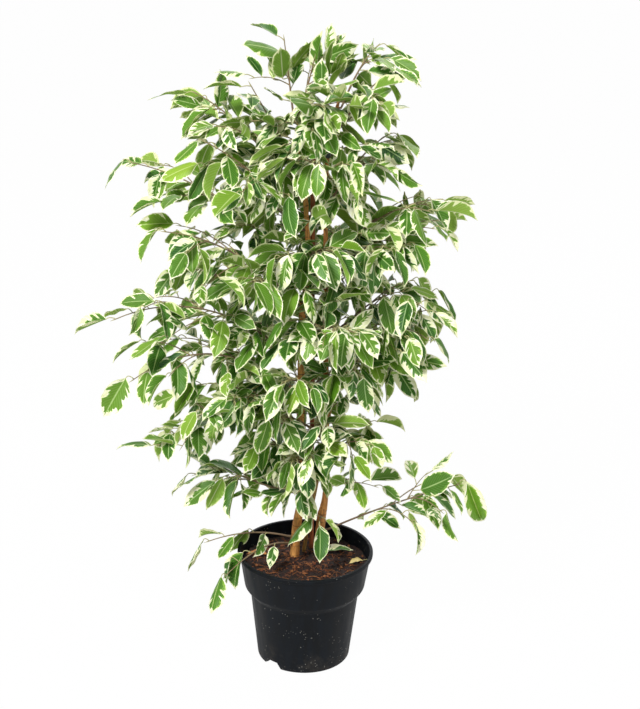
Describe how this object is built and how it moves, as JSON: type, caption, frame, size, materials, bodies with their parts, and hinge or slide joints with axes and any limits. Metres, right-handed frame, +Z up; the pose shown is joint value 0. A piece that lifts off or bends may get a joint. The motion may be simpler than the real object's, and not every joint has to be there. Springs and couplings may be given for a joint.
{
  "type": "potted weeping fig",
  "caption": "Variegated weeping fig with glossy green leaves edged in cream, on three woody stems, standing in a black plastic nursery pot of dark peat.",
  "frame": {"origin": "centre of the pot's underside, on the surface it stands on", "axes": "+Z up, +X to the plant's right and -Y to its front"},
  "size_m": [0.6363, 0.3483, 0.9733],
  "materials": {
    "black_plastic": "satin, a little dusty",
    "peat": "rough, fibrous",
    "bark": "matt bark with dark rings",
    "cane_bark": "matt",
    "tie_plastic": "matt",
    "foliage": "waxy gloss, green with cream edges",
    "dry_leaf": "matt, dry",
    "pale_leaf": "matt, wilted"
  },
  "bodies": {
    "root": {"branch_crown_01": "foliage", "branch_crown_02": "foliage", "branch_crown_03": "foliage", "branch_crown_04": "foliage", "branch_crown_05": "foliage", "branch_crown_06": "foliage", "branch_crown_07": "foliage", "branch_crown_08": "foliage", "branch_crown_09": "foliage", "branch_crown_10": "foliage", "branch_crown_11": "foliage", "branch_crown_12": "foliage", "branch_crown_13": "foliage", "branch_crown_14": "foliage", "branch_crown_15": "foliage", "branch_crown_16": "foliage", "branch_front_breast": "foliage", "branch_front_foot": "foliage", "branch_front_high": "foliage", "branch_front_low": "foliage", "branch_front_middle": "foliage", "branch_front_upper": "foliage", "branch_left_back": "foliage", "branch_left_base": "foliage", "branch_left_far": "foliage", "branch_left_far_low": "foliage", "branch_left_high": "foliage", "branch_left_high_front": "foliage", "branch_left_long": "foliage", "branch_left_low": "foliage", "branch_left_low_front": "foliage", "branch_left_mid": "foliage", "branch_right_back": "foliage", "branch_right_hang": "foliage", "branch_right_high": "foliage", "branch_right_low": "foliage", "branch_right_mid": "foliage", "branch_right_mid_low": "foliage", "branch_right_stub": "foliage", "branch_right_wide": "foliage", "branch_right_wide_back": "foliage", "branch_soil_front": "foliage", "branch_soil_left": "foliage", "branch_top_centre": "foliage", "branch_top_left": "foliage", "branch_top_right": "foliage", "branch_top_right_low": "foliage", "branch_upper_left": "foliage", "fallen_leaf_dry": "dry_leaf", "fallen_leaf_green": "foliage", "fallen_leaf_pale": "pale_leaf", "pot": "black_plastic", "soil": "peat", "stem_left": "bark", "stem_middle": "bark", "stem_right": "bark", "support_cane": "cane_bark", "tie_high": "tie_plastic", "tie_low": "tie_plastic"}
  },
  "joints": []
}
